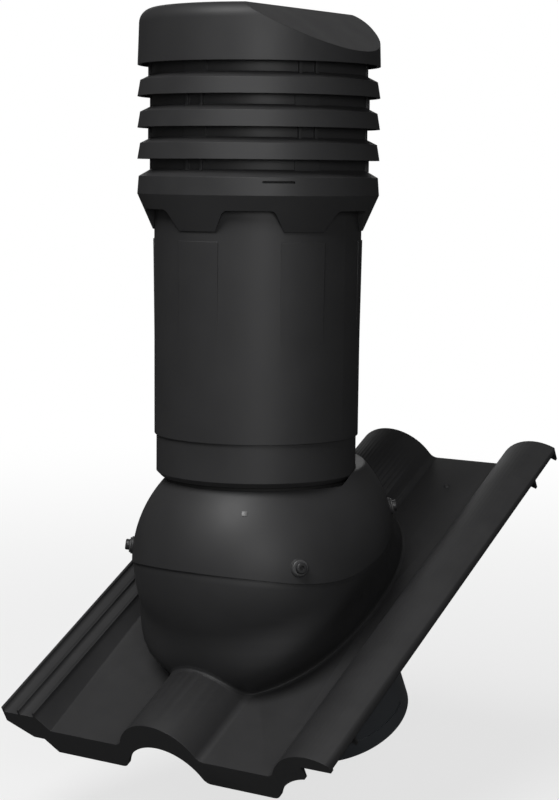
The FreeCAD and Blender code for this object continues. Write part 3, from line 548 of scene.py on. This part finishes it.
def addPiece(name, form, finish, hides):
    mesh = bpy.data.meshes.new(name)
    form.to_mesh(mesh)
    form.free()
    mesh.polygons.foreach_set("use_smooth", [True] * len(mesh.polygons))
    mesh.set_sharp_from_angle(angle=math.radians(mending["smoothTo"]))
    mesh.materials.append(materials[finish])
    piece = bpy.data.objects.new(name, mesh)
    bpy.context.scene.collection.objects.link(piece)
    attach(piece, "root")
    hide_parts(*hides)
    print(name, len(mesh.polygons), "faces")
    return piece


def evenShade(piece):
    # flat faces stay flat beside the rounded ones
    shade = piece.modifiers.new("evenShade", "WEIGHTED_NORMAL")
    shade.mode = "FACE_AREA"
    shade.weight = 100
    shade.keep_sharp = True


# Screws that hold the upper shell: place on the skin and outward direction, one of each pair
screw = {
    "front": ((0.08425, -0.05965, 0.08070), (0.8079, -0.5743, 0.1322)),
    "rear": ((0.08233, 0.08233, 0.11190), (0.7894, 0.5820, 0.1951)),
    "padRadius": 0.0074,
    "padRise": 0.0014,
    "washerRadius": 0.0065,
    "washerWall": 0.0014,
    "headRadius": 0.0046,
    "headHeight": 0.0036,
    "recessRadius": 0.0021,
    "recessDepth": 0.0020,
    "shankRadius": 0.0024,
    "shankLength": 0.015,
    "shankTip": 0.002,
    "headRound": 0.0012,
    "bore": 0.00245,
    "washerLowEdge": 0.0003,
    "washerTopEdge": 0.0005,
    "padEdge": 0.0004,
    "padSink": 0.002,
}


def standAt(place, way):
    turn = Vector(way).to_track_quat("Z", "Y").to_matrix().to_4x4()
    return Matrix.Translation(place) @ turn


def screwStands():
    stands = []
    for which in ("front", "rear"):
        place, way = screw[which]
        for side in (-1.0, 1.0):
            stands.append(standAt((side * place[0], place[1], place[2]), (side * way[0], way[1], way[2])))
    return stands


def addTurned(form, stand, profile, segments=40):
    # a profile of radius and height, spun once round the stand's axis
    before = set(form.verts)
    made = [bmesh.ops.create_vert(form, co=(radius, 0.0, height))["vert"][0] for radius, height in profile]
    edges = [form.edges.new(pair) for pair in zip(made, made[1:])]
    bmesh.ops.spin(form, geom=made + edges, cent=(0.0, 0.0, 0.0), axis=(0.0, 0.0, 1.0),
                   angle=2.0 * math.pi, steps=segments, use_merge=True)
    mine = [vert for vert in form.verts if vert not in before]
    bmesh.ops.transform(form, matrix=stand, verts=mine)
    bmesh.ops.remove_doubles(form, verts=mine, dist=mending["turnedMerge"])


def makeUpperShell():
    form = bmesh.new()
    ringsToSkin(form, [upperColumn(turn) for turn in turns()])
    for stand in screwStands():
        edge = screw["padEdge"]
        sink = -screw["padSink"]
        radius = screw["padRadius"]
        rise = screw["padRise"]
        addTurned(form, stand, [(0.0, sink), (radius, sink), (radius, rise - edge),
                                (radius - edge * 0.3, rise - edge * 0.3), (radius - edge, rise),
                                (0.0, rise)])
    faceOutwards(form)
    addPiece("upper_dome_shell", form, "domePlastic", ["dome_upper"])


def joinedEdges(edges):
    # the edges sorted into connected rims, the longest first
    left = set(edges)
    rims = []
    while left:
        stack = [left.pop()]
        rim = []
        while stack:
            edge = stack.pop()
            rim.append(edge)
            for vert in edge.verts:
                for other in vert.link_edges:
                    if other in left:
                        left.remove(other)
                        stack.append(other)
        rims.append(rim)
    return sorted(rims, key=len, reverse=True)


def makeTileWithDome():
    form = bmesh.new()
    form.from_mesh(nodes["base_tile"].data)
    bmesh.ops.remove_doubles(form, verts=form.verts, dist=mending["tileMerge"])
    corner = math.radians(mending["cornerFrom"])
    left = set(form.faces)
    doomed = []
    while left:
        seed = left.pop()
        region = [seed]
        stack = [seed]
        while stack:
            face = stack.pop()
            for edge in face.edges:
                if len(edge.link_faces) != 2 or edge.calc_face_angle() >= corner:
                    continue
                for other in edge.link_faces:
                    if other in left:
                        left.remove(other)
                        region.append(other)
                        stack.append(other)
        if max(vert.co.dot(offTile) for face in region for vert in face.verts) > mending["wallOver"]:
            doomed += region
    bmesh.ops.delete(form, geom=doomed, context="FACES")
    loose = [edge for edge in form.edges if len(edge.link_faces) == 1]
    rims = joinedEdges(loose)
    print("open rims on the tile's copy:", [len(rim) for rim in rims])
    bmesh.ops.bridge_loops(form, edges=rims[0] + rims[1])
    print("old dome wall taken off the tile's copy:", len(doomed), "faces,", len(form.faces), "left")
    shell = bmesh.new()
    ringsToSkin(shell, [lowerColumn(turn) for turn in turns()])
    ringsToSkin(shell, [filletColumn(turn) for turn in turns()])
    faceOutwards(shell)
    part = bpy.data.meshes.new("lowerShell")
    shell.to_mesh(part)
    shell.free()
    form.from_mesh(part)
    bpy.data.meshes.remove(part)
    evenShade(addPiece("tile_with_lower_dome", form, "tilePlastic", ["base_tile"]))


def makeScrews():
    for number, stand in enumerate(screwStands(), start=1):
        form = bmesh.new()
        low = screw["padRise"]
        high = low + screw["washerWall"]
        outer = screw["washerRadius"]
        bore = screw["bore"]
        below = screw["washerLowEdge"]
        above = screw["washerTopEdge"]
        addTurned(form, stand, [(bore, low), (outer - below, low), (outer, low + below),
                                (outer, high - above), (outer - above, high), (bore, high), (bore, low)])
        faceOutwards(form)
        addPiece("washer_piece_%d" % number, form, "washerPlastic",
                 ["screw_washer_%d" % number])
        form = bmesh.new()
        foot = high
        top = foot + screw["headHeight"]
        head = screw["headRadius"]
        recess = screw["recessRadius"]
        shank = screw["shankRadius"]
        tip = foot - screw["shankLength"]
        edgeRound = screw["headRound"]
        profile = [(0.0, tip), (shank * 0.5, tip), (shank, tip + screw["shankTip"]), (shank, foot),
                   (head, foot), (head, top - edgeRound)]
        for step in range(1, 6):
            lean = math.radians(90.0 * step / 5.0)
            profile.append((head - edgeRound * (1.0 - math.cos(lean)),
                            top - edgeRound * (1.0 - math.sin(lean))))
        recessFloor = top - screw["recessDepth"]
        profile += [(recess, top), (recess * 0.9, recessFloor), (0.0, recessFloor)]
        addTurned(form, stand, profile)
        faceOutwards(form)
        addPiece("screw_piece_%d" % number, form, "screwBlack", ["dome_screw_%d" % number])


# Level window: a small rounded insert in the front of the upper shell
window = {
    "place": (0.04264, -0.07756, 0.12260),
    "way": (0.4100, -0.7458, 0.5250),
    "side": 0.0046,
    "rise": 0.0004,
    "depth": 0.003,
    "corner": 0.0009,
    "edge": 0.00025,
}


def makeWindow():
    form = bmesh.new()
    bmesh.ops.create_cube(form, size=1.0)
    way = Vector(window["way"]).normalized()
    across = Vector((0.0, 0.0, 1.0)).cross(way).normalized()
    up = way.cross(across)
    tall = window["rise"] + window["depth"]
    bmesh.ops.scale(form, verts=form.verts, vec=(window["side"], window["side"], tall))
    bmesh.ops.translate(form, verts=form.verts, vec=(0.0, 0.0, window["rise"] - tall / 2.0))
    upright = [edge for edge in form.edges
               if abs(edge.verts[0].co.z - edge.verts[1].co.z) > tall / 2.0]
    bmesh.ops.bevel(form, geom=upright, offset=window["corner"], offset_type="OFFSET", segments=4,
                    profile=0.5, affect="EDGES", material=-1)
    top = [edge for edge in form.edges
           if min(vert.co.z for vert in edge.verts) > window["rise"] - window["edge"] / 10.0]
    bmesh.ops.bevel(form, geom=top, offset=window["edge"], offset_type="OFFSET", segments=2,
                    profile=0.5, affect="EDGES", material=-1)
    turn = Matrix((across, up, way)).transposed().to_4x4()
    bmesh.ops.transform(form, matrix=Matrix.Translation(window["place"]) @ turn, verts=form.verts)
    bmesh.ops.recalc_face_normals(form, faces=form.faces)
    addPiece("window_piece", form, "palePlastic", ["level_window"])


makeUpperShell()
makeTileWithDome()
makeScrews()
makeWindow()
print("dome, tile and screws dressed")


# Studio: a pale floor under the lowest point, a soft key from the front left and weak light all round
studio = {
    "floorDrop": 0.030,
    "floorRadius": 30.0,
    "floorColour": (0.86, 0.86, 0.86),
    "floorBounce": (0.14, 0.14, 0.14),   # what the object gets back from it
    "ambient": 0.055,
    "keyPlace": (0.05, -1.80, 2.60),
    "keySize": 1.8,
    "keyPower": 64.0,
    "fillPlace": (1.9, -2.2, 0.9),
    "fillSize": 1.2,
    "fillPower": 22.0,
    "backPlace": (-1.3, 1.9, 1.0),
    "backSize": 1.4,
    "backPower": 5.0,
    "aim": (0.0, 0.0, 0.2),
}


def makeLight(name, place, size, power):
    data = bpy.data.lights.new(name, "AREA")
    data.shape = "DISK"
    data.size = size
    data.energy = power
    obj = bpy.data.objects.new(name, data)
    bpy.context.scene.collection.objects.link(obj)
    obj.location = place
    obj.rotation_euler = (Vector(studio["aim"]) - Vector(place)).to_track_quat("-Z", "Y").to_euler()


def makeWorld():
    world = bpy.data.worlds.new("studioWorld")
    bpy.context.scene.world = world
    world.use_nodes = True
    tree = world.node_tree
    tree.nodes.clear()
    link = tree.links.new
    out = tree.nodes.new("ShaderNodeOutputWorld")
    around = addNode(tree, "ShaderNodeBackground", Strength=studio["ambient"])
    around.inputs["Color"].default_value = (1.0, 1.0, 1.0, 1.0)
    seen = addNode(tree, "ShaderNodeBackground", Strength=1.0)
    seen.inputs["Color"].default_value = (1.0, 1.0, 1.0, 1.0)
    path = tree.nodes.new("ShaderNodeLightPath")
    mix = tree.nodes.new("ShaderNodeMixShader")
    link(path.outputs["Is Camera Ray"], mix.inputs[0])
    link(around.outputs[0], mix.inputs[1])
    link(seen.outputs[0], mix.inputs[2])
    link(mix.outputs[0], out.inputs["Surface"])


def makeFloor():
    mesh = bpy.data.meshes.new("studioFloor")
    form = bmesh.new()
    bmesh.ops.create_circle(form, cap_ends=True, radius=studio["floorRadius"], segments=96)
    form.to_mesh(mesh)
    form.free()
    floor = bpy.data.objects.new("studioFloor", mesh)
    bpy.context.scene.collection.objects.link(floor)
    floor.location = (0.0, 0.0, cadBox[0][2] - studio["floorDrop"])
    material = bpy.data.materials.new("studioFloor")
    material.use_nodes = True
    tree = material.node_tree
    tree.nodes.clear()
    link = tree.links.new
    out = tree.nodes.new("ShaderNodeOutputMaterial")
    paper = addNode(tree, "ShaderNodeBsdfDiffuse")
    tone = addNode(tree, "ShaderNodeMix", {"data_type": "RGBA"})
    tone.inputs[6].default_value = studio["floorBounce"] + (1.0,)
    tone.inputs[7].default_value = studio["floorColour"] + (1.0,)
    link(tone.outputs[2], paper.inputs["Color"])
    glow = addNode(tree, "ShaderNodeEmission", Strength=1.0)
    glow.inputs["Color"].default_value = (1.0, 1.0, 1.0, 1.0)
    path = tree.nodes.new("ShaderNodeLightPath")
    link(path.outputs["Is Camera Ray"], tone.inputs[0])
    place = tree.nodes.new("ShaderNodeTexCoord")
    far = addNode(tree, "ShaderNodeVectorMath", {"operation": "LENGTH"})
    link(place.outputs["Object"], far.inputs[0])
    fade = addNode(tree, "ShaderNodeMapRange", {"interpolation_type": "SMOOTHSTEP"})
    fade.inputs["From Min"].default_value = 0.3
    fade.inputs["From Max"].default_value = 2.5
    fade.inputs["To Min"].default_value = 0.72
    fade.inputs["To Max"].default_value = 1.0
    link(far.outputs["Value"], fade.inputs["Value"])
    share = addNode(tree, "ShaderNodeMath", {"operation": "MULTIPLY"})
    link(path.outputs["Is Camera Ray"], share.inputs[0])
    link(fade.outputs["Result"], share.inputs[1])
    mix = tree.nodes.new("ShaderNodeMixShader")
    link(share.outputs[0], mix.inputs[0])
    link(paper.outputs[0], mix.inputs[1])
    link(glow.outputs[0], mix.inputs[2])
    link(mix.outputs[0], out.inputs["Surface"])
    mesh.materials.append(material)


makeWorld()
makeFloor()
makeLight("keyLight", studio["keyPlace"], studio["keySize"], studio["keyPower"])
makeLight("fillLight", studio["fillPlace"], studio["fillSize"], studio["fillPower"])
makeLight("backLight", studio["backPlace"], studio["backSize"], studio["backPower"])
bpy.context.scene.view_settings.view_transform = "Standard"
print("studio ready")
